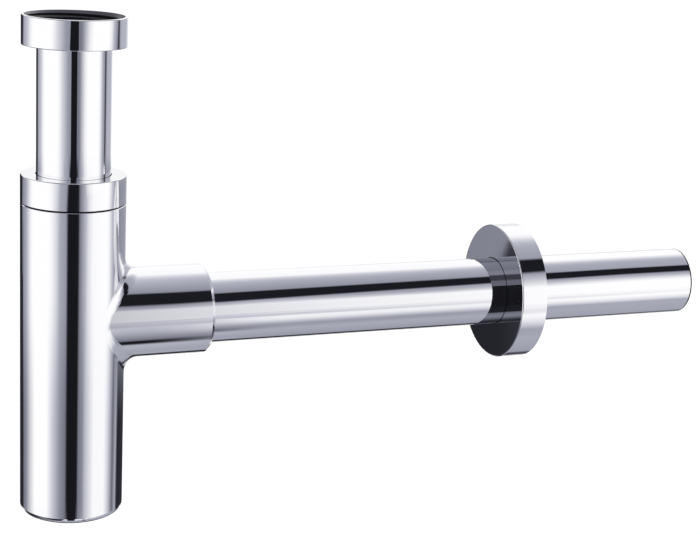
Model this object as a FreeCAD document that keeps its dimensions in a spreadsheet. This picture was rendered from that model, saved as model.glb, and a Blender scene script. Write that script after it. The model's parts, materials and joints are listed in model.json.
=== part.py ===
import FreeCAD, Part
import math
import os

import Sketcher
from FreeCAD import Placement, Rotation, Vector

# Cylindrical bottle trap for a wash basin, in millimetres.
# The origin is the centre of the seat in the union nut, where the end of the basin waste stops on the
# washer. +Z points up along the inlet tube and +X along the outlet pipe, towards the wall.

DIMENSIONS = [
    # Both tubes
    ("tube_diameter", 32.0, "outside diameter of the inlet tube and the outlet pipe"),
    ("tube_wall", 1.0, "wall of the drawn brass tubes"),
    ("running_gap", 0.3, "radial play between a tube and the rigid pieces round it"),
    ("fit_gap", 0.05, "radial play of threads and of rubber rings on their tube"),
    # Union nut at the inlet
    ("thread_step", 3.476, "minor radius of the G 1 1/4 thread, over the tube's radius"),
    ("thread_depth", 1.479, "radial depth of the same thread"),
    ("inlet_nut_wall", 2.92, "wall of the union nut over the thread's crests"),
    ("inlet_nut_height", 12.7, "height of the union nut"),
    ("inlet_nut_lip", 2.0, "thickness of the union nut's lower lip"),
    ("mouth_width", 1.7, "radial width of the lead-in cone at the union nut's mouth"),
    ("mouth_depth", 2.0, "depth of the same cone"),
    ("nut_edge", 0.4, "broken outer edges of both nuts"),
    ("inlet_ring_thickness", 0.5, "nylon ring on the union nut's lip"),
    ("flare_thickness", 1.2, "flared collar at the top of the inlet tube"),
    ("flare_gap", 0.6, "radial play of the flared collar in the thread"),
    ("inlet_washer_thickness", 2.0, "rubber washer on the flared collar"),
    ("inlet_washer_gap", 0.35, "radial play of the washer in the thread"),
    # Heights of the trap
    ("outlet_drop", 124.2, "seat in the union nut down to the outlet's axis"),
    ("shoulder_rise", 50.8, "outlet's axis up to the body's shoulder"),
    ("water_seal", 50.0, "depth of the tube's end below the outlet's overflow"),
    ("sump_height", 17.6, "room under the tube's end"),
    ("floor_thickness", 7.0, "floor of the body"),
    # Body
    ("ring_space", 4.7, "radial space for the water between the inlet tube and the body"),
    ("body_wall", 2.0, "wall of the body"),
    ("bottom_edge", 2.6, "rounding of the body's lower edge"),
    ("shoulder_edge", 0.3, "broken edge of the body's shoulder"),
    ("neck_wall", 4.2, "threaded neck's thickness over the tube's radius"),
    ("neck_height", 7.8, "height of the threaded neck"),
    ("neck_floor", 5.0, "thickness of the ring that closes the body under its neck"),
    ("neck_cone", 4.2, "height of the cone from the body's bore to the neck's bore"),
    ("seat_width", 2.7, "radial width of the conical seat at the neck's mouth"),
    ("seat_depth", 6.0, "depth of the conical seat"),
    # Collar nut and its rings
    ("seam_gap", 0.25, "open seam between the collar nut and the shoulder"),
    ("seam_edge", 0.15, "broken edge of the collar nut at that seam"),
    ("collar_nut_height", 12.3, "height of the collar nut"),
    ("collar_nut_lip", 2.2, "thickness of the collar nut's upper lip"),
    ("collar_ring_thickness", 1.2, "nylon ring under the collar nut's lip"),
    ("seal_nose", 0.6, "the wedge seal's nose stops short of the seat's end by this much"),
    # Cleaning plug
    ("plug_thread", 28.0, "diameter of the plug's thread"),
    ("plug_rim", 3.5, "the plug's head stands out over its thread by this much"),
    ("plug_head", 1.8, "thickness of the plug's head"),
    ("plug_seal_thickness", 1.0, "flat rubber ring over the plug's head"),
    ("plug_sink", 0.2, "the head lies this much above the body's underside"),
    ("plug_key", 14.0, "hexagon recess across flats"),
    ("plug_key_depth", 4.0, "depth of the hexagon recess"),
    # Outlet socket
    ("socket_wall", 4.2, "socket's thickness over the pipe's radius"),
    ("socket_reach", 59.8, "body's axis to the end of the socket"),
    ("socket_fillet", 6.5, "blend between the socket and the body"),
    ("socket_chamfer", 1.5, "outer edge at the end of the socket"),
    ("pipe_stop", 2.5, "shoulder that stops the pipe, outside the body's surface"),
    ("pipe_end_gap", 3.0, "pipe's inner end to that shoulder"),
    ("outlet_ring_section", 2.5, "section of the outlet's O-rings"),
    ("groove_play", 0.45, "play of an O-ring along its groove, on each side"),
    ("outlet_ring_setback", 7.0, "socket's end to the middle of the outer O-ring"),
    ("outlet_ring_spacing", 8.0, "distance between the two O-rings"),
    # Outlet pipe and wall flange
    ("pipe_length", 281.8, "length of the outlet pipe"),
    ("pipe_edge", 0.4, "rounding of both ends of the outlet pipe"),
    ("flange_place", 206.1, "body's axis to the face of the wall flange"),
    ("flange_diameter", 64.4, "outside diameter of the wall flange"),
    ("flange_depth", 12.9, "depth of the wall flange"),
    ("flange_sheet", 1.0, "wall of the wall flange"),
    ("flange_edge", 0.5, "rounding of the flange's front edge"),
    ("hub_wall", 2.7, "hub's thickness over the pipe's bore"),
    ("hub_depth", 7.0, "depth of the hub behind the face"),
    ("grip_ring_section", 1.8, "section of the O-ring in the hub"),
    ("grip_ring_place", 3.9, "face of the flange to the middle of its O-ring"),
]

doc = FreeCAD.newDocument("bottle_trap")
dims = doc.addObject("Spreadsheet::Sheet", "Dims")
for row, (alias, value, meaning) in enumerate(DIMENSIONS, start=1):
    dims.set(f"A{row}", alias)
    dims.set(f"B{row}", str(value))
    dims.set(f"C{row}", meaning)
    dims.setAlias(f"B{row}", alias)
doc.recompute()

# Radii and levels that several pieces share, as expressions over the sheet.
TUBE_R = "Dims.tube_diameter / 2"
TUBE_BORE_R = "(Dims.tube_diameter / 2 - Dims.tube_wall)"
SLIDE_R = "(Dims.tube_diameter / 2 + Dims.running_gap)"
GRIP_R = "(Dims.tube_diameter / 2 + Dims.fit_gap)"
THREAD_R = "(Dims.tube_diameter / 2 + Dims.thread_step)"
FLARE_R = f"({THREAD_R} - Dims.flare_gap)"
WASHER_R = f"({THREAD_R} - Dims.inlet_washer_gap)"
RELIEF_R = f"({THREAD_R} + Dims.thread_depth + Dims.fit_gap)"
INLET_NUT_R = f"({THREAD_R} + Dims.inlet_nut_wall)"
CAVITY_R = "(Dims.tube_diameter / 2 + Dims.ring_space)"
BODY_R = f"({CAVITY_R} + Dims.body_wall)"
NECK_R = "(Dims.tube_diameter / 2 + Dims.neck_wall)"
SEAT_R = "(Dims.tube_diameter / 2 + Dims.seat_width)"
SOCKET_R = "(Dims.tube_diameter / 2 + Dims.socket_wall)"
PLUG_R = "Dims.plug_thread / 2"
PLUG_HEAD_R = "(Dims.plug_thread / 2 + Dims.plug_rim)"

# Levels below the seat in the union nut.
FLARE_TOP = "(-Dims.inlet_washer_thickness)"
FLARE_UNDERSIDE = f"({FLARE_TOP} - Dims.flare_thickness)"
LIP_TOP = f"({FLARE_UNDERSIDE} - Dims.inlet_ring_thickness)"
INLET_NUT_BOTTOM = f"({LIP_TOP} - Dims.inlet_nut_lip)"
TUBE_END = f"(-Dims.outlet_drop - {TUBE_BORE_R} - Dims.water_seal)"

# Heights above the outlet's axis, in the body's own frame.
BODY_FLOOR = f"({TUBE_END} + Dims.outlet_drop - Dims.sump_height)"
BODY_BOTTOM = f"({BODY_FLOOR} - Dims.floor_thickness)"
NECK_TOP = "(Dims.shoulder_rise + Dims.neck_height)"
COLLAR_BOTTOM = "(Dims.shoulder_rise + Dims.seam_gap)"
COLLAR_TOP = f"({COLLAR_BOTTOM} + Dims.collar_nut_height)"
COLLAR_RING_TOP = f"({COLLAR_TOP} - Dims.collar_nut_lip)"
SEAL_TOP = f"({COLLAR_RING_TOP} - Dims.collar_ring_thickness)"
PLUG_RECESS = "(Dims.plug_sink + Dims.plug_head + Dims.plug_seal_thickness)"
PIPE_SHOULDER = f"({BODY_R} + Dims.pipe_stop)"
PIPE_START = f"({PIPE_SHOULDER} + Dims.pipe_end_gap)"

# The widening of the socket is lofted through this many equal steps.
# Turns Z to X, X to Y and Y to Z.
Z_TO_X = Rotation(Vector(1, 1, 1), 120)
TOLERANCE = 1e-4
CURVE_TOLERANCE = 1e-3


def value_of(expression):
    """Value of an expression over the sheet."""
    return float(dims.evalExpression(expression))


def new_body(label, x="0", z="0"):
    """A body with its own frame, placed at x and z."""
    body = doc.addObject("PartDesign::Body", label)
    body.Label = label
    body.setExpression("Placement.Base.x", x)
    body.setExpression("Placement.Base.z", z)
    return body


def new_sketch(body, name, plane):
    """An empty sketch on one of the body's origin planes."""
    sketch = body.newObject("Sketcher::SketchObject", name)
    support = [item for item in body.Origin.OriginFeatures if item.Role == plane][0]
    sketch.AttachmentSupport = (support, [""])
    sketch.MapMode = "FlatFace"
    return sketch


def bind(sketch, constraint, expression):
    """Adds a dimension whose size is the expression."""
    index = sketch.addConstraint(constraint)
    sketch.setExpression(f"Constraints[{index}]", expression)


def draw_outline(sketch, corners):
    """A closed outline of straight lines, each corner measured from both axes of the sketch."""
    points = [Vector(value_of(across), value_of(up), 0) for across, up in corners]
    lines = []
    for start, end in zip(points, points[1:] + points[:1]):
        lines.append(sketch.addGeometry(Part.LineSegment(start, end), False))
    for line, following in zip(lines, lines[1:] + lines[:1]):
        sketch.addConstraint(Sketcher.Constraint("Coincident", line, 2, following, 1))
    for line, point, (across, up) in zip(lines, points, corners):
        bind(sketch, Sketcher.Constraint("DistanceX", -1, 1, line, 1, point.x), across)
        bind(sketch, Sketcher.Constraint("DistanceY", -1, 1, line, 1, point.y), up)


def turn(body, name, corners, axis="V_Axis", cut=False):
    """Revolves an outline in the XZ plane about Z (V_Axis) or X (H_Axis), to add or to cut."""
    sketch = new_sketch(body, name + "_outline", "XZ_Plane")
    draw_outline(sketch, corners)
    before = body.Shape.Volume if cut else 0.0
    feature = body.newObject("PartDesign::Groove" if cut else "PartDesign::Revolution", name)
    feature.Profile = sketch
    feature.ReferenceAxis = (sketch, [axis])
    feature.Angle = 360
    doc.recompute()
    if cut and body.Shape.Volume >= before - TOLERANCE:
        raise RuntimeError(f"{name} removes nothing")
    return feature


def edges_where(feature, test):
    """Names of the feature's edges whose sampled points all pass the test."""
    names = []
    for number, edge in enumerate(feature.Shape.Edges, start=1):
        if all(test(point) for point in edge.discretize(9)):
            names.append(f"Edge{number}")
    if not names:
        raise RuntimeError(f"{feature.Label} has no such edge")
    return names


def dress(body, kind, name, size, test):
    """A fillet or a chamfer on the tip's edges that pass the test."""
    base = body.Tip
    feature = body.newObject(f"PartDesign::{kind}", name)
    feature.Base = (base, edges_where(base, test))
    feature.setExpression("Radius" if kind == "Fillet" else "Size", size)
    doc.recompute()
    return feature


def on_circle_z(radius, level):
    """Test for points on a circle round Z."""
    wanted_radius = value_of(radius)
    wanted_level = value_of(level)
    return lambda p: (abs(math.hypot(p.x, p.y) - wanted_radius) < TOLERANCE
                      and abs(p.z - wanted_level) < TOLERANCE)


def on_circle_x(radius, place):
    """Test for points on a circle round X."""
    wanted_radius = value_of(radius)
    wanted_place = value_of(place)
    return lambda p: (abs(math.hypot(p.y, p.z) - wanted_radius) < TOLERANCE
                      and abs(p.x - wanted_place) < TOLERANCE)


def flat_ring(label, inner, outer, thickness, level):
    """A flat ring round Z that lies on the given level."""
    body = new_body(label, z=level)
    turn(body, label + "_ring", [(inner, "0"), (outer, "0"), (outer, thickness), (inner, thickness)])


def o_ring(label, inner, section, place):
    """An O-ring round the outlet's axis, with its middle plane at the given place along X."""
    ring = doc.addObject("Part::Torus", label)
    ring.Label = label
    ring.setExpression("Radius1", f"{inner} + {section} / 2")
    ring.setExpression("Radius2", f"{section} / 2")
    ring.Placement = Placement(Vector(0, 0, 0), Rotation(Vector(0, 1, 0), 90))
    ring.setExpression("Placement.Base.x", place)
    ring.setExpression("Placement.Base.z", "-Dims.outlet_drop")


def make_inlet_nut():
    """Round union nut: lead-in cone, thread bore, relief below it, and a lip that carries the flare."""
    body = new_body("inlet_nut", z=INLET_NUT_BOTTOM)
    seat = f"(-{INLET_NUT_BOTTOM})"
    turn(body, "union_nut_blank", [
        (SLIDE_R, "0"),
        (INLET_NUT_R, "0"),
        (INLET_NUT_R, "Dims.inlet_nut_height"),
        (f"{THREAD_R} + Dims.mouth_width", "Dims.inlet_nut_height"),
        (THREAD_R, "Dims.inlet_nut_height - Dims.mouth_depth"),
        (THREAD_R, seat),
        (RELIEF_R, seat),
        (RELIEF_R, "Dims.inlet_nut_lip"),
        (SLIDE_R, "Dims.inlet_nut_lip"),
    ])
    for name, level in (("union_nut_lower_edge", "0"), ("union_nut_upper_edge", "Dims.inlet_nut_height")):
        dress(body, "Fillet", name, "Dims.nut_edge", on_circle_z(INLET_NUT_R, level))


def make_inlet_tube():
    """Inlet tube, flared at its top and open at its lower end, which stands in the water."""
    length = f"({FLARE_TOP} - {TUBE_END})"
    body = new_body("inlet_tube", z=TUBE_END)
    turn(body, "flared_tube", [
        (TUBE_BORE_R, "0"),
        (TUBE_R, "0"),
        (TUBE_R, f"{length} - Dims.flare_thickness"),
        (FLARE_R, f"{length} - Dims.flare_thickness"),
        (FLARE_R, length),
        (TUBE_BORE_R, length),
    ])


def make_collar_nut():
    """Collar nut: internal thread on the body's neck and a lip that presses the wedge seal down."""
    body = new_body("collar_nut", z=f"{COLLAR_BOTTOM} - Dims.outlet_drop")
    thread = f"({NECK_R} + Dims.fit_gap)"
    ceiling = "Dims.collar_nut_height - Dims.collar_nut_lip"
    turn(body, "collar_nut_blank", [
        (thread, "0"),
        (BODY_R, "0"),
        (BODY_R, "Dims.collar_nut_height"),
        (SLIDE_R, "Dims.collar_nut_height"),
        (SLIDE_R, ceiling),
        (thread, ceiling),
    ])
    dress(body, "Fillet", "collar_nut_lower_edge", "Dims.seam_edge", on_circle_z(BODY_R, "0"))
    dress(body, "Fillet", "collar_nut_upper_edge", "Dims.nut_edge",
          on_circle_z(BODY_R, "Dims.collar_nut_height"))


def make_collar_seal():
    """Wedge seal: a flat head under the nylon ring and a cone that follows the seat in the neck."""
    body = new_body("collar_seal", z=f"{NECK_TOP} - Dims.outlet_drop")
    head = f"({SEAL_TOP} - {NECK_TOP})"
    nose_depth = "(Dims.seat_depth - Dims.seal_nose)"
    seat_slope = "((Dims.seat_width - Dims.running_gap) / Dims.seat_depth)"
    turn(body, "wedge_ring", [
        (GRIP_R, f"-{nose_depth}"),
        (f"{SEAT_R} - Dims.fit_gap - {seat_slope} * {nose_depth}", f"-{nose_depth}"),
        (f"{SEAT_R} - Dims.fit_gap", "0"),
        (f"{SEAT_R} - Dims.fit_gap", head),
        (GRIP_R, head),
    ])


def cylinder(name, radius, start, end, along_x=False):
    """A solid cylinder between two levels along Z, or between two places along X."""
    item = doc.addObject("Part::Cylinder", name)
    item.setExpression("Radius", radius)
    item.setExpression("Height", f"({end}) - ({start})")
    if along_x:
        item.Placement = Placement(Vector(), Z_TO_X)
    item.setExpression("Placement.Base.x" if along_x else "Placement.Base.z", start)
    return item


def make_trap_body():
    """Body: turned outside with its neck, cross-bored socket, bore with a conical seat, and floor."""
    blank = doc.addObject("Part::MultiFuse", "body_blank")
    blank.Shapes = [
        cylinder("body_turned", BODY_R, BODY_BOTTOM, "Dims.shoulder_rise"),
        cylinder("neck_turned", NECK_R, "0", NECK_TOP),
        cylinder("socket_turned", SOCKET_R, "0", "Dims.socket_reach", along_x=True),
    ]
    doc.recompute()
    body = new_body("trap_body", z="-Dims.outlet_drop")
    body.BaseFeature = blank
    doc.recompute()

    body_radius = value_of(BODY_R)
    socket_radius = value_of(SOCKET_R)
    dress(body, "Fillet", "socket_blend", "Dims.socket_fillet",
          lambda p: (abs(math.hypot(p.x, p.y) - body_radius) < CURVE_TOLERANCE
                     and abs(p.z) < socket_radius + CURVE_TOLERANCE))
    dress(body, "Chamfer", "socket_end_edge", "Dims.socket_chamfer", on_circle_x(SOCKET_R, "Dims.socket_reach"))
    plug_room = f"({BODY_R} - {PLUG_HEAD_R} - 2 * Dims.running_gap)"
    dress(body, "Fillet", "bottom_edge_round", f"min(Dims.bottom_edge; {plug_room})",
          on_circle_z(BODY_R, BODY_BOTTOM))
    dress(body, "Chamfer", "shoulder_edge_break", "Dims.shoulder_edge", on_circle_z(BODY_R, "Dims.shoulder_rise"))

    cavity_top = "(Dims.shoulder_rise - Dims.neck_floor)"
    turn(body, "bore", [
        ("0", BODY_FLOOR),
        (CAVITY_R, BODY_FLOOR),
        (CAVITY_R, f"{cavity_top} - Dims.neck_cone"),
        (SLIDE_R, cavity_top),
        (SLIDE_R, f"{NECK_TOP} - Dims.seat_depth"),
        (SEAT_R, NECK_TOP),
        ("0", NECK_TOP),
    ], cut=True)

    recess_top = f"({BODY_BOTTOM} + {PLUG_RECESS})"
    turn(body, "plug_hole", [
        ("0", BODY_BOTTOM),
        (f"{PLUG_HEAD_R} + Dims.running_gap", BODY_BOTTOM),
        (f"{PLUG_HEAD_R} + Dims.running_gap", recess_top),
        (f"{PLUG_R} + Dims.fit_gap", recess_top),
        (f"{PLUG_R} + Dims.fit_gap", BODY_FLOOR),
        ("0", BODY_FLOOR),
    ], cut=True)

    groove_floor = f"({GRIP_R} + Dims.outlet_ring_section + Dims.fit_gap)"
    half_groove = "(Dims.outlet_ring_section / 2 + Dims.groove_play)"
    outer_ring = "(Dims.socket_reach - Dims.outlet_ring_setback)"
    inner_ring = f"({outer_ring} - Dims.outlet_ring_spacing)"
    turn(body, "outlet_bore", [
        (TUBE_R, "0"),
        (TUBE_R, TUBE_BORE_R),
        (PIPE_SHOULDER, TUBE_BORE_R),
        (PIPE_SHOULDER, SLIDE_R),
        (f"{inner_ring} - {half_groove}", SLIDE_R),
        (f"{inner_ring} - {half_groove}", groove_floor),
        (f"{inner_ring} + {half_groove}", groove_floor),
        (f"{inner_ring} + {half_groove}", SLIDE_R),
        (f"{outer_ring} - {half_groove}", SLIDE_R),
        (f"{outer_ring} - {half_groove}", groove_floor),
        (f"{outer_ring} + {half_groove}", groove_floor),
        (f"{outer_ring} + {half_groove}", SLIDE_R),
        ("Dims.socket_reach", SLIDE_R),
        ("Dims.socket_reach", "0"),
    ], axis="H_Axis", cut=True)
    o_ring("outlet_seal_outer", GRIP_R, "Dims.outlet_ring_section", outer_ring)
    o_ring("outlet_seal_inner", GRIP_R, "Dims.outlet_ring_section", inner_ring)


def make_cleaning_plug():
    """Screwed plug in the floor: flat head, threaded shank and a hexagon recess for a key."""
    body = new_body("cleaning_plug", z=f"{BODY_BOTTOM} + Dims.plug_sink - Dims.outlet_drop")
    shank_top = f"({BODY_FLOOR} - {BODY_BOTTOM} - Dims.plug_sink)"
    turn(body, "plug_blank", [
        ("0", "0"),
        (PLUG_HEAD_R, "0"),
        (PLUG_HEAD_R, "Dims.plug_head"),
        (PLUG_R, "Dims.plug_head"),
        (PLUG_R, shank_top),
        ("0", shank_top),
    ])
    key_sketch = new_sketch(body, "key_hexagon", "XY_Plane")
    far = "Dims.plug_key / sqrt(3)"
    near = "Dims.plug_key / sqrt(12)"
    side = "Dims.plug_key / 2"
    draw_outline(key_sketch, [
        (far, "0"),
        (near, side),
        (f"-{near}", side),
        (f"-{far}", "0"),
        (f"-{near}", f"-{side}"),
        (near, f"-{side}"),
    ])
    before = body.Shape.Volume
    recess = body.newObject("PartDesign::Pocket", "key_recess")
    recess.Profile = key_sketch
    recess.Reversed = True
    recess.setExpression("Length", "Dims.plug_key_depth")
    doc.recompute()
    if body.Shape.Volume >= before - TOLERANCE:
        raise RuntimeError("key_recess removes nothing")


def make_outlet_pipe():
    """Outlet pipe, cut square with its ends rounded."""
    body = new_body("outlet_pipe", x=PIPE_START, z="-Dims.outlet_drop")
    turn(body, "pipe", [
        ("0", TUBE_BORE_R),
        ("Dims.pipe_length", TUBE_BORE_R),
        ("Dims.pipe_length", TUBE_R),
        ("0", TUBE_R),
    ], axis="H_Axis")
    for name, place in (("pipe_inner_end", "0"), ("pipe_outer_end", "Dims.pipe_length")):
        dress(body, "Fillet", name, "Dims.pipe_edge", on_circle_x(TUBE_R, place))


def make_wall_flange():
    """Wall flange: a flat face, a skirt that meets the wall and a grooved hub round the pipe."""
    body = new_body("wall_flange", x="Dims.flange_place", z="-Dims.outlet_drop")
    rim = "(Dims.flange_diameter / 2)"
    hub = f"({SLIDE_R} + Dims.hub_wall)"
    groove_floor = f"({GRIP_R} + Dims.grip_ring_section + Dims.fit_gap)"
    half_groove = "(Dims.grip_ring_section / 2 + Dims.groove_play)"
    turn(body, "flange_cup", [
        ("0", SLIDE_R),
        ("0", rim),
        ("Dims.flange_depth", rim),
        ("Dims.flange_depth", f"{rim} - Dims.flange_sheet"),
        ("Dims.flange_sheet", f"{rim} - Dims.flange_sheet"),
        ("Dims.flange_sheet", hub),
        ("Dims.hub_depth", hub),
        ("Dims.hub_depth", SLIDE_R),
        (f"Dims.grip_ring_place + {half_groove}", SLIDE_R),
        (f"Dims.grip_ring_place + {half_groove}", groove_floor),
        (f"Dims.grip_ring_place - {half_groove}", groove_floor),
        (f"Dims.grip_ring_place - {half_groove}", SLIDE_R),
    ], axis="H_Axis")
    dress(body, "Fillet", "flange_front_edge", "Dims.flange_edge", on_circle_x(rim, "0"))
    o_ring("flange_grip_ring", GRIP_R, "Dims.grip_ring_section", "Dims.flange_place + Dims.grip_ring_place")


make_inlet_nut()
flat_ring("inlet_slip_ring", SLIDE_R, FLARE_R, "Dims.inlet_ring_thickness", LIP_TOP)
make_inlet_tube()
flat_ring("inlet_washer", TUBE_BORE_R, WASHER_R, "Dims.inlet_washer_thickness", FLARE_TOP)
make_collar_nut()
flat_ring("collar_slip_ring", SLIDE_R, f"{NECK_R} - Dims.running_gap", "Dims.collar_ring_thickness",
          f"{SEAL_TOP} - Dims.outlet_drop")
make_collar_seal()
make_trap_body()
make_cleaning_plug()
flat_ring("cleaning_plug_seal", f"{PLUG_R} + Dims.running_gap", f"{PLUG_HEAD_R} - Dims.running_gap",
          "Dims.plug_seal_thickness",
          f"{BODY_BOTTOM} + Dims.plug_sink + Dims.plug_head - Dims.outlet_drop")
make_outlet_pipe()
make_wall_flange()
doc.recompute()

for item in doc.Objects:
    if "Invalid" in item.State or "Error" in item.State:
        raise RuntimeError(f"{item.Label} did not recompute: {item.State}")

pieces = [item for item in doc.Objects if item.TypeId in ("PartDesign::Body", "Part::Torus")]
for piece in pieces:
    if piece.Shape.isNull() or not piece.Shape.isValid():
        raise RuntimeError(f"{piece.Label} has no valid shape")

os.makedirs("parts", exist_ok=True)
for piece in pieces:
    piece.Shape.exportStep(f"parts/{piece.Label}.step")
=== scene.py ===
import json
import math

import bpy
from mathutils import Matrix, Vector

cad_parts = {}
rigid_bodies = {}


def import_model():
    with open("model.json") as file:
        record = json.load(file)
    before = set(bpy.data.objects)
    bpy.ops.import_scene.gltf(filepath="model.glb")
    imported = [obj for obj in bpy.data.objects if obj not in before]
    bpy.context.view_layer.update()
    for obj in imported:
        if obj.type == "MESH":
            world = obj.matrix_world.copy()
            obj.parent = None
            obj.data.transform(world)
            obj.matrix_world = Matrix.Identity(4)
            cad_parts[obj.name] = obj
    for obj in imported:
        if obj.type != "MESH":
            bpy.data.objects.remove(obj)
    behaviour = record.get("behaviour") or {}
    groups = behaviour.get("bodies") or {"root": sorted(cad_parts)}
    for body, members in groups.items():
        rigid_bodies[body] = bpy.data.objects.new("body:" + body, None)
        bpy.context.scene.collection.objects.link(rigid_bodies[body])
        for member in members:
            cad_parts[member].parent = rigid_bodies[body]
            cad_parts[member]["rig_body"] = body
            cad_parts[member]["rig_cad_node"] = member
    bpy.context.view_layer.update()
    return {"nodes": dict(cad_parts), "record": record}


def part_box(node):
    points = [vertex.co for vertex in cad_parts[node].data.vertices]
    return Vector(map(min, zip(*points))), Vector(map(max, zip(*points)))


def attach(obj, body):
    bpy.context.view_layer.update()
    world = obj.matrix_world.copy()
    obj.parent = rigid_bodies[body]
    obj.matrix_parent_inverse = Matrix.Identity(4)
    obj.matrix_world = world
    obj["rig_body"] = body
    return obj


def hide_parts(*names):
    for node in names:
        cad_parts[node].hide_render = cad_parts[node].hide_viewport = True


bl_info = {
    "name": "Bottle Trap",
    "version": (1, 0, 0),
    "blender": (4, 5, 0),
    "location": "View3D > Sidebar > Bottle Trap",
    "description": "Chromed finish, threads and studio for the bottle trap",
    "category": "Object",
}

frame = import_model()

MM = 0.001
NUT_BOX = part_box("inlet_nut")
COLLAR_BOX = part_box("collar_nut")
BODY_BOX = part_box("trap_body")
PLUG_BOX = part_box("cleaning_plug")
PIPE_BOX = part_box("outlet_pipe")
OUTLET_AXIS = (PIPE_BOX[0].z + PIPE_BOX[1].z) / 2
# The trap hangs from its nut. The tube lets the body down by 50 mm and the plug unscrews by 4.5 mm more.
FLOOR_LEVEL = BODY_BOX[0].z - 60 * MM

# Thread sizes that the solids leave out, in metres. The solids hold the cylinder that each one is cut in.
UNION_BORE = 19.476 * MM
UNION_DEPTH = 1.479 * MM
UNION_PITCH = 2.309 * MM
COLLAR_BORE = 20.25 * MM
NECK_RADIUS = 20.2 * MM
SHANK_RADIUS = 14.0 * MM
FINE_DEPTH = 0.46 * MM
# A cutting wedge starts this far out in the open, so that none of its faces lies on a bore or a shank.
UNION_OVERLAP = 0.15 * MM
FINE_OVERLAP = 0.1 * MM
# Faces of the nut nearer to its outside than this aren't thread.
NUT_SKIN = 1.1 * MM
# Steps in a turn of thread, and the angle past which an edge stays sharp.
TURN_STEPS = 96
SHARP_EDGE = math.radians(32)

CHROME = "mirror_chromed_brass"
# Inside this radius the tube and the pipe aren't plated. It lies within their 1 mm wall, outside the bore.
BORE_EDGE = 15.4 * MM
# The painted shade line at a broken edge starts a little outside it, and reaches this far in from the
# body's base, from the seam under the collar nut and from the pipe's end.
SHADE_LINE_START = 0.1 * MM
BASE_SHADE_LINE = 1.0 * MM
SEAM_SHADE_LINE = 0.35 * MM
END_SHADE_LINE = 0.9 * MM

# The floor's own glow, which lifts it to white for the camera, and the light that matt surfaces get.
FLOOR_GLOW = 0.27
MATT_LIGHT = 0.86
# The dark card behind the camera, in metres: its width and height, and how far it hangs below the camera.
CARD_WIDTH = 0.222
CARD_HEIGHT = 1.36
CARD_DROP = 0.48

# Where the walls of the surround change, as heights of a direction of length 1. The change over the low
# wall is soft, but sharp behind on the left, where a small dark corner lies over it.
BELOW_TO_WALLS = (-0.46, -0.38)
LOW_TO_MIDDLE = (-0.34, -0.255)
LOW_TO_MIDDLE_SHARP = (-0.255, -0.25)
MIDDLE_TO_HIGH = (-0.195, -0.18)
WALLS_TO_ABOVE = (0.22, 0.36)
LEFT_SIDE = -138
CORNER_TURNS = (-139.8, -139.2)
CORNER_HEIGHTS = (-0.25, -0.222)
# Where the tones over the pipe change along it, as the share of a direction that points to the wall.
CORNER_TO_PIPE = (-0.42, -0.38)
PIPE_TO_SOCKET = (0.18, 0.24)
SOCKET_TO_PIPE = (0.25, 0.34)
PIPE_TO_END = (0.40, 0.53)
# The dark card over the front: where it fades in, where it climbs, and for each edge its turn before and
# after the climb and how soft it is, in degrees.
CARD_FADE = (0.05, 0.2)
CARD_CLIMB = (0.27, 0.52)
CARD_EDGES = ((27.5, 46.5, 3.5), (58.5, 70.0, -3.0))


def linear(code):
    """Linear red, green, blue and alpha of an sRGB hex colour."""
    parts = [int(code[i:i + 2], 16) / 255 for i in (1, 3, 5)]
    return tuple(p / 12.92 if p <= 0.04045 else ((p + 0.055) / 1.055) ** 2.4 for p in parts) + (1.0,)


def add_node(tree, kind, settings=None, links=None):
    """Adds one node, sets its sockets and properties, and links other nodes' outputs to its inputs."""
    node = tree.nodes.new(kind)
    for key, value in (settings or {}).items():
        if isinstance(key, int) or key in node.inputs:
            node.inputs[key].default_value = value
        else:
            setattr(node, key, value)
    for key, source in (links or {}).items():
        tree.links.new(source, node.inputs[key])
    return node


def surround_colour(value):
    """A tone of the surround: its greys lean to lavender, and its white and black are neutral."""
    lean = max(0.0, 1.0 - value)
    return value * (1 - 0.06 * lean), value * (1 - 0.03 * lean), value * (1 + 0.26 * lean), 1.0


def turn_share(degrees):
    """Where an angle lies on a scale from 0 at half a turn back to 1 at half a turn on."""
    return (degrees + 180) / 360


def add_tones(tree, stops, place):
    """Adds a colour ramp over a whole turn, with its stops as pairs of degrees and brightness."""
    ramp = add_node(tree, "ShaderNodeValToRGB", None, {"Fac": place})
    elements = ramp.color_ramp.elements
    elements.remove(elements[1])
    elements[0].position = turn_share(stops[0][0])
    elements[0].color = surround_colour(stops[0][1])
    for degrees, value in stops[1:]:
        elements.new(turn_share(degrees)).color = surround_colour(value)
    return ramp.outputs["Color"]


def new_material(name):
    """An empty node material and its output."""
    material = bpy.data.materials.new(name)
    material.use_nodes = True
    material.node_tree.nodes.clear()
    return material, add_node(material.node_tree, "ShaderNodeOutputMaterial")


def lay_over(tree, mask, colour, roughness, ground, gloss):
    """Lays a duller colour over the ground where the mask is 1. Returns the new colour and roughness."""
    tint = add_node(tree, "ShaderNodeMix", {"data_type": "RGBA"}, {"Factor": mask})
    if isinstance(ground, bpy.types.NodeSocket):
        tree.links.new(ground, tint.inputs["A"])
    else:
        tint.inputs["A"].default_value = ground
    tint.inputs["B"].default_value = colour
    dull = add_node(tree, "ShaderNodeMix", {"data_type": "FLOAT", "B": roughness},
                    {"Factor": mask, "A": gloss})
    return tint.outputs["Result"], dull.outputs["Result"]


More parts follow.
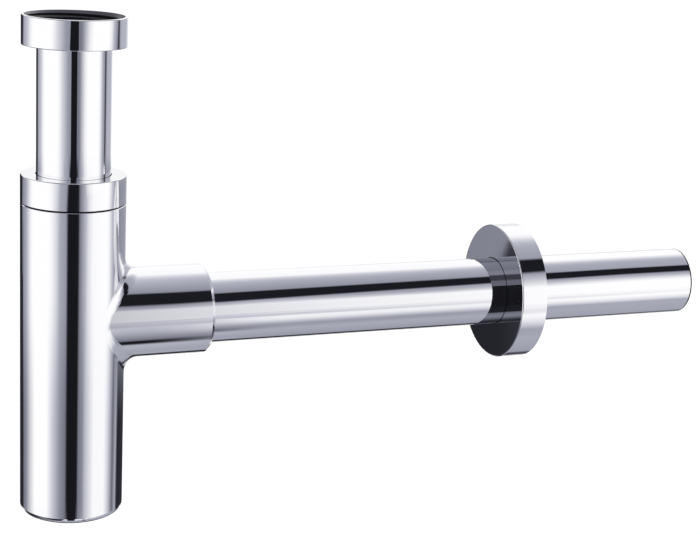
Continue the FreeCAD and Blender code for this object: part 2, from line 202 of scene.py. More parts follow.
def chromed_brass(name, settings, bore=None, edge=None):
    """Mirror chrome over polished brass. The polish leaves a faint waviness and slightly uneven gloss.

    bore is (axis, radius, height of the axis): inside that radius the tube isn't plated, and the
    eye sees dull yellow drawn brass. edge is (axis, low, high): between those places a thin dark
    line is painted into the base colour, painted shade at a broken edge.
    """
    material, output = new_material(name)
    tree = material.node_tree
    place = add_node(tree, "ShaderNodeTexCoord").outputs["Object"]
    # Buffing leaves waves about 12 mm long and far too shallow to feel.
    waves = add_node(tree, "ShaderNodeTexNoise", {"Scale": 1 / (12 * MM), "Detail": 1.0}, {"Vector": place})
    relief = add_node(tree, "ShaderNodeBump", {"Strength": settings.polish_waves, "Distance": 0.02 * MM},
                      {"Height": waves.outputs["Fac"]})
    # Handling and plating make the gloss vary over patches of about 5 mm.
    patches = add_node(tree, "ShaderNodeTexNoise", {"Scale": 1 / (5 * MM), "Detail": 3.0},
                       {"Vector": place})
    gloss = add_node(tree, "ShaderNodeMapRange",
                     {"To Min": settings.chrome_roughness * 0.7, "To Max": settings.chrome_roughness * 1.3},
                     {"Value": patches.outputs["Fac"]})
    shader = add_node(tree, "ShaderNodeBsdfPrincipled", {"Metallic": 1.0},
                      {"Roughness": gloss.outputs["Result"], "Normal": relief.outputs["Normal"]})
    ground, sheen = settings.chrome_colour, gloss.outputs["Result"]
    parts = add_node(tree, "ShaderNodeSeparateXYZ", None, {"Vector": place})
    if bore is not None:
        axis, radius, height = bore
        level = add_node(tree, "ShaderNodeMath", {"operation": "SUBTRACT", 1: height},
                         {0: parts.outputs["Z"]})
        across = level.outputs[0] if axis == "X" else parts.outputs["X"]
        flat = add_node(tree, "ShaderNodeCombineXYZ", None, {"X": across, "Y": parts.outputs["Y"]})
        reach = add_node(tree, "ShaderNodeVectorMath", {"operation": "LENGTH"}, {0: flat.outputs["Vector"]})
        inside = add_node(tree, "ShaderNodeMath", {"operation": "LESS_THAN", 1: radius},
                          {0: reach.outputs["Value"]})
        ground, sheen = lay_over(tree, inside.outputs[0], settings.brass_colour, 0.42, ground, sheen)
    # Painted shade: between low and high a thin dark line is painted into the base colour, where shade
    # falls at a broken edge.
    if edge is not None:
        axis, low, high = edge
        along = parts.outputs[axis]
        over = add_node(tree, "ShaderNodeMath", {"operation": "GREATER_THAN", 1: low}, {0: along})
        under = add_node(tree, "ShaderNodeMath", {"operation": "LESS_THAN", 1: high}, {0: along})
        line = add_node(tree, "ShaderNodeMath", {"operation": "MULTIPLY"},
                        {0: over.outputs[0], 1: under.outputs[0]})
        ground, sheen = lay_over(tree, line.outputs[0], settings.edge_shade_colour, 0.5, ground, sheen)
    if bore is None and edge is None:
        shader.inputs["Base Color"].default_value = ground
    else:
        tree.links.new(ground, shader.inputs["Base Color"])
        tree.links.new(sheen, shader.inputs["Roughness"])
    tree.links.new(shader.outputs["BSDF"], output.inputs["Surface"])
    return material


def dulled_thread():
    """Machined thread that the plating hardly reaches: dark grey metal with turning marks."""
    material, output = new_material("dulled_thread")
    tree = material.node_tree
    place = add_node(tree, "ShaderNodeTexCoord").outputs["Object"]
    marks = add_node(tree, "ShaderNodeTexNoise", {"Scale": 1 / (0.6 * MM), "Detail": 2.0},
                     {"Vector": place})
    gloss = add_node(tree, "ShaderNodeMapRange", {"To Min": 0.28, "To Max": 0.45},
                     {"Value": marks.outputs["Fac"]})
    shader = add_node(tree, "ShaderNodeBsdfPrincipled",
                      {"Metallic": 1.0, "Base Color": linear("#77777C")},
                      {"Roughness": gloss.outputs["Result"]})
    tree.links.new(shader.outputs["BSDF"], output.inputs["Surface"])
    return material


def nitrile_rubber(settings):
    """Moulded nitrile rubber: near black and matt, with the fine grain of its mould."""
    material, output = new_material("moulded_nitrile_rubber")
    tree = material.node_tree
    place = add_node(tree, "ShaderNodeTexCoord").outputs["Object"]
    grain = add_node(tree, "ShaderNodeTexNoise", {"Scale": 1 / (0.4 * MM), "Detail": 4.0},
                     {"Vector": place})
    relief = add_node(tree, "ShaderNodeBump", {"Strength": 0.35, "Distance": 0.05 * MM},
                      {"Height": grain.outputs["Fac"]})
    dust = add_node(tree, "ShaderNodeMapRange", {"To Min": 0.55, "To Max": 0.8},
                    {"Value": grain.outputs["Fac"]})
    shader = add_node(tree, "ShaderNodeBsdfPrincipled",
                      {"Base Color": settings.rubber_colour, "IOR": 1.52},
                      {"Roughness": dust.outputs["Result"], "Normal": relief.outputs["Normal"]})
    tree.links.new(shader.outputs["BSDF"], output.inputs["Surface"])
    return material


def natural_nylon(settings):
    """Natural moulded nylon: milky white, satin, with faint flow marks and a little light inside."""
    material, output = new_material("natural_nylon")
    tree = material.node_tree
    place = add_node(tree, "ShaderNodeTexCoord").outputs["Object"]
    flow = add_node(tree, "ShaderNodeTexNoise", {"Scale": 1 / (3 * MM), "Detail": 2.0, "Distortion": 0.6},
                    {"Vector": place})
    tone = add_node(tree, "ShaderNodeMix", {"data_type": "RGBA"}, {"Factor": flow.outputs["Fac"]})
    tone.inputs["A"].default_value = settings.nylon_colour
    tone.inputs["B"].default_value = linear("#D8D3C4")
    shader = add_node(tree, "ShaderNodeBsdfPrincipled",
                      {"Roughness": 0.42, "IOR": 1.53, "Subsurface Weight": 0.15,
                       "Subsurface Scale": 1.0 * MM},
                      {"Base Color": tone.outputs["Result"]})
    tree.links.new(shader.outputs["BSDF"], output.inputs["Surface"])
    return material


def deselect():
    """Leaves nothing selected, in object mode."""
    if bpy.context.object is not None and bpy.context.object.mode != "OBJECT":
        bpy.ops.object.mode_set(mode="OBJECT")
    bpy.ops.object.select_all(action="DESELECT")


def pick(piece):
    """Makes one object the only selected and active one."""
    deselect()
    piece.select_set(True)
    bpy.context.view_layer.objects.active = piece


def copy_of(node, name):
    """A merged copy of a CAD node's mesh, to be worked on as a new piece."""
    source = frame["nodes"][node]
    piece = source.copy()
    piece.data = source.data.copy()
    piece.name = name
    piece.data.name = name
    piece.parent = None
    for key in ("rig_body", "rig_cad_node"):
        del piece[key]
    bpy.context.scene.collection.objects.link(piece)
    pick(piece)
    bpy.ops.object.mode_set(mode="EDIT")
    bpy.ops.mesh.select_all(action="SELECT")
    bpy.ops.mesh.remove_doubles(threshold=0.002 * MM)
    bpy.ops.object.mode_set(mode="OBJECT")
    bpy.ops.mesh.customdata_custom_splitnormals_clear()
    return piece


def helix(name, root, tip, width, pitch, start, turns):
    """A closed helical wedge round Z, as wide as width at its root radius and sharp at its tip radius."""
    deselect()
    outward = 1 if tip > root else -1
    bpy.ops.mesh.primitive_circle_add(vertices=3, radius=1.0, fill_type="NOTHING",
                                      rotation=(math.pi / 2, outward * math.pi / 2, 0))
    wedge = bpy.context.object
    wedge.name = name
    bpy.ops.object.transform_apply(location=False, rotation=True, scale=False)
    # The triangle's centre is a third of its height from the base.
    height = abs(tip - root)
    wedge.scale = (height / 1.5, 1.0, width / math.sqrt(3))
    wedge.location = (root + outward * height / 3, 0, start)
    bpy.ops.object.transform_apply(location=True, rotation=False, scale=True)
    sweep = wedge.modifiers.new("sweep", "SCREW")
    sweep.axis = "Z"
    sweep.angle = 2 * math.pi
    sweep.screw_offset = pitch
    sweep.iterations = turns
    sweep.steps = TURN_STEPS
    sweep.render_steps = TURN_STEPS
    bpy.ops.object.modifier_apply(modifier=sweep.name)
    bpy.ops.object.mode_set(mode="EDIT")
    bpy.ops.mesh.select_all(action="SELECT")
    bpy.ops.mesh.fill_holes(sides=3)
    bpy.ops.mesh.select_all(action="SELECT")
    bpy.ops.mesh.remove_doubles(threshold=0.001 * MM)
    bpy.ops.mesh.normals_make_consistent(inside=False)
    bpy.ops.object.mode_set(mode="OBJECT")
    return wedge


def cut(piece, tool):
    """Cuts a tool out of a piece and removes the tool."""
    pick(piece)
    before = len(piece.data.vertices)
    groove = piece.modifiers.new("groove", "BOOLEAN")
    groove.operation = "DIFFERENCE"
    groove.solver = "EXACT"
    groove.object = tool
    bpy.ops.object.modifier_apply(modifier=groove.name)
    if len(piece.data.vertices) <= before:
        raise RuntimeError(f"{tool.name} cuts nothing from {piece.name}")
    bpy.data.objects.remove(tool)


def settle(piece, body, material, slot, *nodes):
    """Finishes a piece: smooth shading, its material, its body and the nodes it stands for. The slot is not
    used.
    """
    pick(piece)
    bpy.ops.object.mode_set(mode="EDIT")
    bpy.ops.mesh.select_all(action="SELECT")
    bpy.ops.mesh.remove_doubles(threshold=0.0005 * MM)
    bpy.ops.object.mode_set(mode="OBJECT")
    bpy.ops.object.shade_smooth_by_angle(angle=SHARP_EDGE)
    weigh = piece.modifiers.new("even_shading", "WEIGHTED_NORMAL")
    weigh.keep_sharp = True
    bpy.ops.object.modifier_apply(modifier=weigh.name)
    piece.data.materials.clear()
    piece.data.materials.append(material)
    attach(piece, body)
    if nodes:
        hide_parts(*nodes)
    deselect()


class TrapFinish(bpy.types.PropertyGroup):
    """Colours and gloss of the trap's materials."""

    chrome_colour: bpy.props.FloatVectorProperty(
        name="Chrome", description="Colour of the chrome plate", subtype="COLOR", size=4,
        min=0.0, max=1.0, default=linear("#F4F4F6"))
    brass_colour: bpy.props.FloatVectorProperty(
        name="Brass", description="Colour of the unplated bores", subtype="COLOR", size=4,
        min=0.0, max=1.0, default=linear("#9C8557"))
    # Painted shade: the colour of the thin dark line painted at a broken edge.
    edge_shade_colour: bpy.props.FloatVectorProperty(
        name="Edge", description="Colour of the thin line at a broken edge", subtype="COLOR", size=4,
        min=0.0, max=1.0, default=linear("#242428"))
    rubber_colour: bpy.props.FloatVectorProperty(
        name="Rubber", description="Colour of the rubber rings", subtype="COLOR", size=4,
        min=0.0, max=1.0, default=linear("#1B1B1D"))
    nylon_colour: bpy.props.FloatVectorProperty(
        name="Nylon", description="Colour of the slip rings", subtype="COLOR", size=4,
        min=0.0, max=1.0, default=linear("#E9E6DC"))
    chrome_roughness: bpy.props.FloatProperty(
        name="Chrome roughness", description="How much the plate blurs what it mirrors",
        default=0.035, min=0.0, max=1.0, subtype="FACTOR")
    polish_waves: bpy.props.FloatProperty(
        name="Polish waves", description="Strength of the faint waves that buffing leaves",
        default=0.25, min=0.0, max=1.0, subtype="FACTOR")


class TrapThreads(bpy.types.PropertyGroup):
    """Threads that the solids leave out."""

    fine_pitch: bpy.props.FloatProperty(
        name="Fine pitch", description="Pitch of the threads on the neck and the plug",
        default=1.5 * MM, min=0.5 * MM, max=3 * MM, unit="LENGTH", precision=4)
    groove_share: bpy.props.FloatProperty(
        name="Groove share", description="Width of a groove at the surface as a share of the pitch",
        default=0.85, min=0.3, max=0.95, subtype="FACTOR")


class TrapStudio(bpy.types.PropertyGroup):
    """Camera, floor and surround."""

    camera_place: bpy.props.FloatVectorProperty(
        name="Camera", description="Place of the camera", size=3,
        default=(-0.15429, -0.68767, 0.07813), subtype="TRANSLATION", unit="LENGTH", precision=4)
    camera_heading: bpy.props.FloatProperty(
        name="Heading", description="Turn of the camera to the right of +Y", default=0.393, subtype="ANGLE")
    camera_dip: bpy.props.FloatProperty(
        name="Dip", description="How far the camera looks down", default=0.246, subtype="ANGLE")
    camera_roll: bpy.props.FloatProperty(
        name="Roll", description="Turn of the camera about its own line of sight", default=0.050,
        subtype="ANGLE")
    camera_lens: bpy.props.FloatProperty(
        name="Lens", description="Focal length for a 36 mm wide sensor, in millimetres", default=84.514,
        min=20.0, max=300.0)
    floor_colour: bpy.props.FloatVectorProperty(
        name="Floor", description="Colour of the floor", subtype="COLOR", size=4,
        min=0.0, max=1.0, default=linear("#F3F3F3"))


class TRAP_OT_finish(bpy.types.Operator):
    """Gives every piece of the model its material"""

    bl_idname = "trap.finish"
    bl_label = "Finish the pieces"

    def execute(self, context):
        settings = context.scene.trap_finish
        nodes = frame["nodes"]
        chrome = chromed_brass(CHROME, settings)
        rubber = nitrile_rubber(settings)
        nylon = natural_nylon(settings)
        base, seam, end = BODY_BOX[0].z, COLLAR_BOX[0].z, PIPE_BOX[1].x
        # The body's base, the seam under the collar nut and the pipe's end get a painted shade line.
        marks = {
            "inlet_tube": {"bore": ("Z", BORE_EDGE, 0.0)},
            "outlet_pipe": {"bore": ("X", BORE_EDGE, OUTLET_AXIS),
                            "edge": ("X", end - END_SHADE_LINE, end + SHADE_LINE_START)},
            "trap_body": {"edge": ("Z", base - SHADE_LINE_START, base + BASE_SHADE_LINE)},
            "collar_nut": {"edge": ("Z", seam - SHADE_LINE_START, seam + SEAM_SHADE_LINE)},
        }
        own = {node: chromed_brass(f"{CHROME}_{node}", settings, **mark) for node, mark in marks.items()}
        by_slot = {"chromed_brass": chrome, "nitrile_rubber": rubber, "nylon": nylon}
        for part in frame["record"]["subparts"]:
            node = nodes[part["node"]]
            material = own.get(part["node"], by_slot[part["material_slot"]])
            for place in node.material_slots:
                place.material = material
        return {"FINISHED"}


class TRAP_OT_union_nut(bpy.types.Operator):
    """Union nut with its pipe thread cut in the bore"""

    bl_idname = "trap.union_nut"
    bl_label = "Union nut"

    def execute(self, context):
        share = context.scene.trap_threads.groove_share
        nut = copy_of("inlet_nut", "union_nut_threaded")
        root = UNION_BORE - UNION_OVERLAP
        tip = UNION_BORE + UNION_DEPTH
        width = share * UNION_PITCH * (tip - root) / UNION_DEPTH
        cut(nut, helix("union_thread", root, tip, width, UNION_PITCH, -UNION_PITCH, turns=5))
        settle(nut, "union_nut", bpy.data.materials[CHROME], "chromed_brass", "inlet_nut")
        nut.data.materials.append(dulled_thread())
        for face in nut.data.polygons:
            radius = math.hypot(face.center.x, face.center.y)
            in_bore = UNION_BORE - FINE_OVERLAP < radius < NUT_BOX[1].x - NUT_SKIN
            # The nut's flat ends and its lip stay bright.
            if in_bore and abs(face.normal.z) < 0.95:
                face.material_index = 1
        return {"FINISHED"}


class TRAP_OT_collar_nut(bpy.types.Operator):
    """Collar nut with its fine thread, and the thread on the neck that it turns on"""

    bl_idname = "trap.collar_nut"
    bl_label = "Collar nut and neck thread"

    def execute(self, context):
        threads = context.scene.trap_threads
        start = COLLAR_BOX[0].z - 0.5 * threads.fine_pitch
        nut = copy_of("collar_nut", "collar_nut_threaded")
        root = COLLAR_BORE - FINE_OVERLAP
        tip = COLLAR_BORE + FINE_DEPTH
        width = threads.groove_share * threads.fine_pitch * (tip - root) / FINE_DEPTH
        cut(nut, helix("collar_thread", root, tip, width, threads.fine_pitch, start, turns=7))
        plated = bpy.data.materials[f"{CHROME}_collar_nut"]
        settle(nut, "collar", plated, "chromed_brass", "collar_nut")
        # The ridge is lower and narrower than the groove that it turns in.
        ridge = helix("neck_thread", NECK_RADIUS - FINE_OVERLAP, NECK_RADIUS + 0.8 * FINE_DEPTH,
                      0.7 * threads.fine_pitch, threads.fine_pitch, start + 2 * threads.fine_pitch, turns=3)
        settle(ridge, "bottle", bpy.data.materials[CHROME], "chromed_brass")
        return {"FINISHED"}


class TRAP_OT_cleaning_plug(bpy.types.Operator):
    """Cleaning plug with the thread cut in its shank"""

    bl_idname = "trap.cleaning_plug"
    bl_label = "Cleaning plug"

    def execute(self, context):
        threads = context.scene.trap_threads
        plug = copy_of("cleaning_plug", "cleaning_plug_threaded")
        root = SHANK_RADIUS + FINE_OVERLAP
        tip = SHANK_RADIUS - FINE_DEPTH
        width = threads.groove_share * threads.fine_pitch * (root - tip) / FINE_DEPTH
        start = PLUG_BOX[0].z + 3.0 * MM
        cut(plug, helix("plug_thread", root, tip, width, threads.fine_pitch, start, turns=3))
        settle(plug, "plug", bpy.data.materials[CHROME], "chromed_brass", "cleaning_plug")
        return {"FINISHED"}


class TRAP_OT_studio(bpy.types.Operator):
    """Pale floor, the surround that the chrome mirrors, soft light and the camera"""

    bl_idname = "trap.studio"
    bl_label = "Studio"

    def execute(self, context):
        studio = context.scene.trap_studio
        self.place_floor(studio)
        self.paint_surround(context.scene, studio)
        self.stand_card(studio)
        self.hang_light()
        self.place_camera(context.scene, studio)
        context.scene.view_settings.view_transform = "Standard"
        return {"FINISHED"}

    def place_floor(self, studio):
        """A wide matt sheet under the trap, white to the camera where nothing shades it.

        The chrome mirrors the surround through it, and from below it is clear.
        """
        deselect()
        bpy.ops.mesh.primitive_plane_add(size=24.0, location=(0, 0, FLOOR_LEVEL))
        floor = bpy.context.object
        floor.name = "floor"
        material, output = new_material("matt_white_paper")
        tree = material.node_tree
        paper = add_node(tree, "ShaderNodeBsdfDiffuse", {"Color": studio.floor_colour})
        rays = add_node(tree, "ShaderNodeLightPath")
        lift = add_node(tree, "ShaderNodeMath", {"operation": "MULTIPLY", 1: FLOOR_GLOW},
                        {0: rays.outputs["Is Camera Ray"]})
        glow = add_node(tree, "ShaderNodeEmission", {"Color": (1, 1, 1, 1)}, {"Strength": lift.outputs[0]})
        both = add_node(tree, "ShaderNodeAddShader", None, {0: paper.outputs[0], 1: glow.outputs[0]})
        side = add_node(tree, "ShaderNodeNewGeometry")
        hidden = add_node(tree, "ShaderNodeMath", {"operation": "MAXIMUM"},
                          {0: side.outputs["Backfacing"], 1: rays.outputs["Is Glossy Ray"]})
        clear = add_node(tree, "ShaderNodeBsdfTransparent")
        sheet = add_node(tree, "ShaderNodeMixShader", None,
                         {0: hidden.outputs[0], 1: both.outputs[0], 2: clear.outputs[0]})
        tree.links.new(sheet.outputs[0], output.inputs["Surface"])
        floor.data.materials.append(material)
        deselect()

    def paint_surround(self, scene, studio):
        """The surround that the chrome mirrors: light and dark bands by direction.

        Only glossy rays see it. The camera sees white, and matt surfaces get an even pale grey.
        """
        world = bpy.data.worlds.new("studio_surround")
        scene.world = world
        world.use_nodes = True
        tree = world.node_tree
        tree.nodes.clear()
        where = add_node(tree, "ShaderNodeTexCoord").outputs["Generated"]
        heading = math.atan2(studio.camera_place[0], -studio.camera_place[1])
        faced = add_node(tree, "ShaderNodeVectorRotate", {"rotation_type": "Z_AXIS", "Angle": -heading},
                         {"Vector": where})
        turned = add_node(tree, "ShaderNodeSeparateXYZ", None, {"Vector": faced.outputs["Vector"]})
        plain = add_node(tree, "ShaderNodeSeparateXYZ", None, {"Vector": where})
        height = plain.outputs["Z"]
        round_z = self.add_turn(tree, turned.outputs["X"], turned.outputs["Y"])
        round_x = self.add_turn(tree, height, plain.outputs["Y"])
        walls = self.blend_tones(tree, height, MIDDLE_TO_HIGH, add_tones(tree, MIDDLE_WALL_STOPS, round_z),
                                 add_tones(tree, HIGH_WALL_STOPS, round_z))
        walls = self.join_low_wall(tree, height, round_z, add_tones(tree, LOW_WALL_STOPS, round_z), walls)
        over_pipe = self.hang_card(tree, plain.outputs["X"], round_x)
        upper = self.blend_tones(tree, height, WALLS_TO_ABOVE, walls, over_pipe)
        mirrored = self.blend_tones(tree, height, BELOW_TO_WALLS, over_pipe, upper)
        rays = add_node(tree, "ShaderNodeLightPath")
        seen = add_node(tree, "ShaderNodeMix", {"data_type": "RGBA"},
                        {"Factor": rays.outputs["Is Glossy Ray"]})
        seen.inputs["A"].default_value = (MATT_LIGHT, MATT_LIGHT, MATT_LIGHT, 1.0)
        tree.links.new(mirrored, seen.inputs["B"])
        direct = add_node(tree, "ShaderNodeMix", {"data_type": "RGBA"},
                          {"Factor": rays.outputs["Is Camera Ray"]})
        direct.inputs["B"].default_value = (1.0, 1.0, 1.0, 1.0)
        tree.links.new(seen.outputs["Result"], direct.inputs["A"])
        background = add_node(tree, "ShaderNodeBackground", {"Strength": 1.0},
                              {"Color": direct.outputs["Result"]})
        output = add_node(tree, "ShaderNodeOutputWorld")
        tree.links.new(background.outputs[0], output.inputs["Surface"])

    def stand_card(self, studio):
        """A tall dark card right behind the camera. Only the chrome shows it."""
        deselect()
        place = Vector(studio.camera_place)
        facing = math.atan2(place.x, -place.y)
        bpy.ops.mesh.primitive_plane_add(size=1.0)
        card = bpy.context.object
        card.name = "dark_card"
        card.scale = (CARD_WIDTH, CARD_HEIGHT, 1.0)
        card.rotation_euler = (math.pi / 2, 0, facing)
        card.location = (place.x, place.y, place.z - CARD_DROP)
        bpy.ops.object.transform_apply(location=True, rotation=True, scale=True)
        material, output = new_material("black_card")
        paper = add_node(material.node_tree, "ShaderNodeEmission", {"Color": surround_colour(0.01)})
        material.node_tree.links.new(paper.outputs[0], output.inputs["Surface"])
        card.data.materials.append(material)
        card.visible_camera = False
        card.visible_diffuse = False
        card.visible_shadow = False
        card.visible_transmission = False
        deselect()

    def add_turn(self, tree, side, back):
        """The angle from the front to a direction, over a whole turn, as a number from 0 to 1."""
        front = add_node(tree, "ShaderNodeMath", {"operation": "MULTIPLY", 1: -1.0}, {0: back})
        angle = add_node(tree, "ShaderNodeMath", {"operation": "ARCTAN2"}, {0: side, 1: front.outputs[0]})
        turn = add_node(tree, "ShaderNodeMapRange", {"From Min": -math.pi, "From Max": math.pi},
                        {"Value": angle.outputs[0]})
        return turn.outputs["Result"]

    def hang_card(self, tree, side, round_x):
        """The tones over the pipe and over the socket, and the dark card over their front.

        Towards the wall the card hangs higher and is narrower. What the corner between the pipe and the
        flange mirrors twice lies on the other side, and is dim.
        """
        over_pipe = add_tones(tree, OVER_PIPE_STOPS, round_x)
        over_socket = add_tones(tree, OVER_SOCKET_STOPS, round_x)
        over_end = add_tones(tree, OVER_END_STOPS, round_x)
        corner = add_tones(tree, CORNER_STOPS, round_x)
        tones = self.blend_tones(tree, side, PIPE_TO_SOCKET, over_pipe, over_socket)
        tones = self.blend_tones(tree, side, SOCKET_TO_PIPE, tones, over_pipe)
        tones = self.blend_tones(tree, side, PIPE_TO_END, tones, over_end)
        tones = self.blend_tones(tree, side, CORNER_TO_PIPE, corner, tones)
        card = add_node(tree, "ShaderNodeMapRange",
                        {"From Min": CARD_FADE[0], "From Max": CARD_FADE[1]}, {"Value": side})
        for near_edge, far_edge, soft in CARD_EDGES:
            edge = add_node(tree, "ShaderNodeMapRange",
                            {"From Min": CARD_CLIMB[0], "From Max": CARD_CLIMB[1],
                             "To Min": turn_share(near_edge), "To Max": turn_share(far_edge)},
                            {"Value": side})
            past = add_node(tree, "ShaderNodeMath", {"operation": "SUBTRACT"},
                            {0: round_x, 1: edge.outputs["Result"]})
            step = add_node(tree, "ShaderNodeMapRange",
                            {"interpolation_type": "SMOOTHSTEP",
                             "From Min": -soft / 360, "From Max": soft / 360},
                            {"Value": past.outputs[0]})
            card = add_node(tree, "ShaderNodeMath", {"operation": "MULTIPLY"},
                            {0: card.outputs[0], 1: step.outputs["Result"]})
        mix = add_node(tree, "ShaderNodeMix", {"data_type": "RGBA"}, {"Factor": card.outputs[0]})
        tree.links.new(tones, mix.inputs["A"])
        mix.inputs["B"].default_value = surround_colour(0.012)
        return mix.outputs["Result"]

    def join_low_wall(self, tree, height, round_z, below, above):
        """A soft change between two walls.

        Behind on the left it is sharp, with a small dark corner over it, as the flange's face mirrors them.
        """
        soft = add_node(tree, "ShaderNodeMapRange",
                        {"interpolation_type": "SMOOTHSTEP",
                         "From Min": LOW_TO_MIDDLE[0], "From Max": LOW_TO_MIDDLE[1]}, {"Value": height})
        sharp = add_node(tree, "ShaderNodeMapRange",
                         {"From Min": LOW_TO_MIDDLE_SHARP[0], "From Max": LOW_TO_MIDDLE_SHARP[1]},
                         {"Value": height})
        corner = add_node(tree, "ShaderNodeMapRange",
                          {"From Min": CORNER_HEIGHTS[0], "From Max": CORNER_HEIGHTS[1],
                           "To Min": turn_share(CORNER_TURNS[0]), "To Max": turn_share(CORNER_TURNS[1])},
                          {"Value": height})
        left_of = add_node(tree, "ShaderNodeMath", {"operation": "LESS_THAN"},
                           {0: round_z, 1: corner.outputs["Result"]})
        over = add_node(tree, "ShaderNodeMath", {"operation": "GREATER_THAN", 1: CORNER_HEIGHTS[1]},
                        {0: height})
        clear = add_node(tree, "ShaderNodeMath", {"operation": "MAXIMUM"},
                         {0: left_of.outputs[0], 1: over.outputs[0]})
        left = add_node(tree, "ShaderNodeMath", {"operation": "MULTIPLY"},
                        {0: sharp.outputs["Result"], 1: clear.outputs[0]})
        front = add_node(tree, "ShaderNodeMath", {"operation": "GREATER_THAN", 1: turn_share(LEFT_SIDE)},
                         {0: round_z})
        either = add_node(tree, "ShaderNodeMath", {"operation": "MAXIMUM"},
                          {0: left.outputs[0], 1: front.outputs[0]})
        share = add_node(tree, "ShaderNodeMath", {"operation": "MINIMUM"},
                         {0: soft.outputs["Result"], 1: either.outputs[0]})
        mix = add_node(tree, "ShaderNodeMix", {"data_type": "RGBA"}, {"Factor": share.outputs[0]})
        tree.links.new(below, mix.inputs["A"])
        tree.links.new(above, mix.inputs["B"])
        return mix.outputs["Result"]

    def blend_tones(self, tree, place, change, below, above):
        """One tone below the change, another above it, and a soft step between its two ends."""
        share = add_node(tree, "ShaderNodeMapRange",
                         {"interpolation_type": "SMOOTHSTEP", "From Min": change[0], "From Max": change[1]},
                         {"Value": place})
        mix = add_node(tree, "ShaderNodeMix", {"data_type": "RGBA"}, {"Factor": share.outputs["Result"]})
        tree.links.new(below, mix.inputs["A"])
        tree.links.new(above, mix.inputs["B"])
        return mix.outputs["Result"]

    def hang_light(self):
        """One wide soft box high on the left, for the floor's shadow and the rubber."""
        lamp = bpy.data.lights.new("soft_box", "AREA")
        lamp.shape = "RECTANGLE"
        lamp.size = lamp.size_y = 1.2
        lamp.energy = 3.0
        box = bpy.data.objects.new("soft_box", lamp)
        bpy.context.scene.collection.objects.link(box)
        box.location = (-0.9, -0.5, 1.4)
        aim = Vector((0.12, 0, OUTLET_AXIS)) - box.location
        box.rotation_euler = aim.to_track_quat("-Z", "Y").to_euler()
        box.visible_glossy = False

    def place_camera(self, scene, studio):
        """The camera at the photograph's angle."""
        heading, dip, roll = studio.camera_heading, studio.camera_dip, studio.camera_roll
        ahead = Vector((math.sin(heading) * math.cos(dip), math.cos(heading) * math.cos(dip),
                        -math.sin(dip)))
        level = Vector((math.cos(heading), -math.sin(heading), 0))
        upright = level.cross(ahead)
        right = math.cos(roll) * level + math.sin(roll) * upright
        top = math.cos(roll) * upright - math.sin(roll) * level
        turn = Matrix((right, top, -ahead)).transposed()
        data = bpy.data.cameras.new("camera")
        data.sensor_width = 36.0
        data.lens = studio.camera_lens
        data.clip_start = 0.01
        data.clip_end = 100.0
        camera = bpy.data.objects.new("camera", data)
        camera.matrix_world = Matrix.Translation(Vector(studio.camera_place)) @ turn.to_4x4()
        scene.collection.objects.link(camera)
        scene.camera = camera


# The surround that the chrome mirrors, as pairs of degrees and brightness. They come from the photograph:
# its brightness along single lines over each piece, and at single points on the flange's face, worked back
# to the direction that is mirrored there, changed until the bands agreed, then thinned and rounded.
# The first three go round the vertical from the camera's side, to the right, and are what the nut and tube,
# the collar, and the body mirror: soft boxes on both sides of the camera, and dark cards behind the object.
HIGH_WALL_STOPS = [
    (-180, 1), (-172, 0.9), (-165, 0.02), (-144, 0.04), (-138, 0.4), (-120, 0.6), (-108, 0.95),
    (-100, 1.1), (-52, 1.1), (-43, 0.95), (-35, 0.7), (-18, 0.35), (13, 0.2), (18, 0.3), (34, 0.95),
    (43, 1.1), (78, 1.1), (86, 0.95), (95, 0.5), (105, 0.3), (107, 0.07), (112, 0.05), (115, 0.4),
    (124, 0.5), (146, 0.5), (156, 0.8), (180, 1),
]
MIDDLE_WALL_STOPS = [
    (-180, 0.5), (-170, 0.02), (-144, 0.02), (-141, 0.25), (-121, 0.45), (-103, 1), (-97, 1.1), (-55, 1.1),
    (-46, 1), (-36, 0.75), (-28, 0.45), (-15, 0.35), (-11, 0.015), (11.5, 0.015), (14.5, 0.2), (28, 0.55),
    (33, 0.8), (44, 1.05), (79, 1.1), (86, 0.95), (93, 0.6), (100, 0.4), (104, 0.15), (108, 0.5),
    (113, 0.1), (117, 0.3), (150, 0.35), (180, 0.6),
]
LOW_WALL_STOPS = [
    (-180, 0.04), (-139, 0.02), (-132, 0.2), (-120, 0.3), (-90, 1.1), (-58, 1.1), (-43, 0.65), (-34, 0.45),
    (-26, 0.3), (-15, 0.2), (-11, 0.012), (11.5, 0.012), (14.5, 0.2), (24, 0.3), (28, 0.5), (50, 1.05),
    (76, 1.05), (85, 0.8), (99, 0.3), (104, 0.15), (116, 0.45), (120, 0.1), (125, 0.02), (180, 0.04),
]
# This one goes over the outlet pipe, from straight below at -90 over the front at 0 to the top at 90 and
# on to the back, with a thin dark edge at the back of the underside.
OVER_PIPE_STOPS = [
    (-180, 1.1), (-148, 1), (-142, 0.03), (-128, 0.03), (-121, 0.35), (-100, 0.4), (-78, 0.45),
    (-60, 0.35), (-53, 0.45), (-38, 0.9), (-20, 1.1), (0, 1.1), (10, 1), (30, 0.4), (60, 0.3), (91, 0.45),
    (101, 0.55), (110, 0.75), (118, 1.05), (180, 1.1),
]
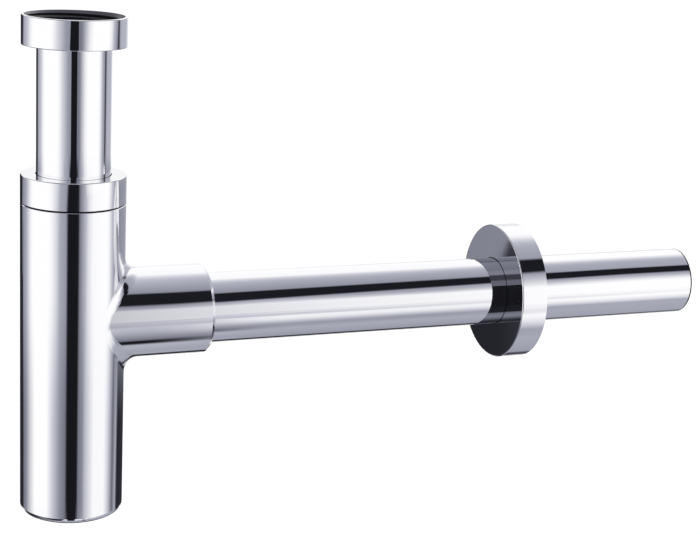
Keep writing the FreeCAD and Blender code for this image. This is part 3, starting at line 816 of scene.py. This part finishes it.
# The same turn as the pipe's far end mirrors it, the socket, and the corner between pipe and flange.
OVER_END_STOPS = [
    (-180, 1.1), (-148, 1), (-142, 0.1), (-132, 0.1), (-122, 0.4), (-58, 0.45), (-50, 0.75), (-41, 0.95),
    (-33, 1.1), (18, 1.05), (25, 0.95), (39, 0.45), (47, 0.35), (95, 0.45), (105, 0.55), (126, 1.1),
    (180, 1.1),
]
OVER_SOCKET_STOPS = [
    (-180, 1.1), (-148, 1), (-142, 0.03), (-128, 0.03), (-121, 0.45), (-106, 0.4), (-79, 0.5), (-72, 0.01),
    (-65, 0.01), (-61, 0.2), (-36, 0.5), (-14, 0.65), (4, 0.55), (26, 0.3), (60, 0.3), (91, 0.5),
    (101, 0.6), (110, 0.8), (118, 1.05), (180, 1.1),
]
CORNER_STOPS = [
    (-180, 0.2), (-127, 0.02), (-112, 0.04), (-88, 0.25), (-73, 0.2), (-66, 0.015), (26, 0.015),
    (30, 0.15), (47, 0.15), (52, 0.05), (68, 0.05), (73, 0.25), (84, 0.25), (92, 0.2), (130, 0.25),
    (137, 0.13), (146, 0.2), (180, 0.2),
]


class TRAP_PT_panel(bpy.types.Panel):
    """Lists the steps in their order"""

    bl_idname = "TRAP_PT_panel"
    bl_label = "Bottle Trap"
    bl_space_type = "VIEW_3D"
    bl_region_type = "UI"
    bl_category = "Bottle Trap"

    def draw(self, context):
        layout = self.layout
        for group in (context.scene.trap_finish, context.scene.trap_threads, context.scene.trap_studio):
            box = layout.box()
            for name in group.bl_rna.properties.keys():
                if name not in ("rna_type", "name"):
                    box.prop(group, name)
        for step in STEPS:
            layout.operator(step.bl_idname)


STEPS = (TRAP_OT_finish, TRAP_OT_union_nut, TRAP_OT_collar_nut, TRAP_OT_cleaning_plug, TRAP_OT_studio)
CLASSES = (TrapFinish, TrapThreads, TrapStudio, *STEPS, TRAP_PT_panel)


def register():
    for item in CLASSES:
        bpy.utils.register_class(item)
    bpy.types.Scene.trap_finish = bpy.props.PointerProperty(type=TrapFinish)
    bpy.types.Scene.trap_threads = bpy.props.PointerProperty(type=TrapThreads)
    bpy.types.Scene.trap_studio = bpy.props.PointerProperty(type=TrapStudio)


def unregister():
    del bpy.types.Scene.trap_studio
    del bpy.types.Scene.trap_threads
    del bpy.types.Scene.trap_finish
    for item in reversed(CLASSES):
        bpy.utils.unregister_class(item)


def main():
    register()
    bpy.ops.trap.finish()
    bpy.ops.trap.union_nut()
    bpy.ops.trap.collar_nut()
    bpy.ops.trap.cleaning_plug()
    bpy.ops.trap.studio()
    bpy.context.view_layer.update()


if __name__ == "__main__":
    main()
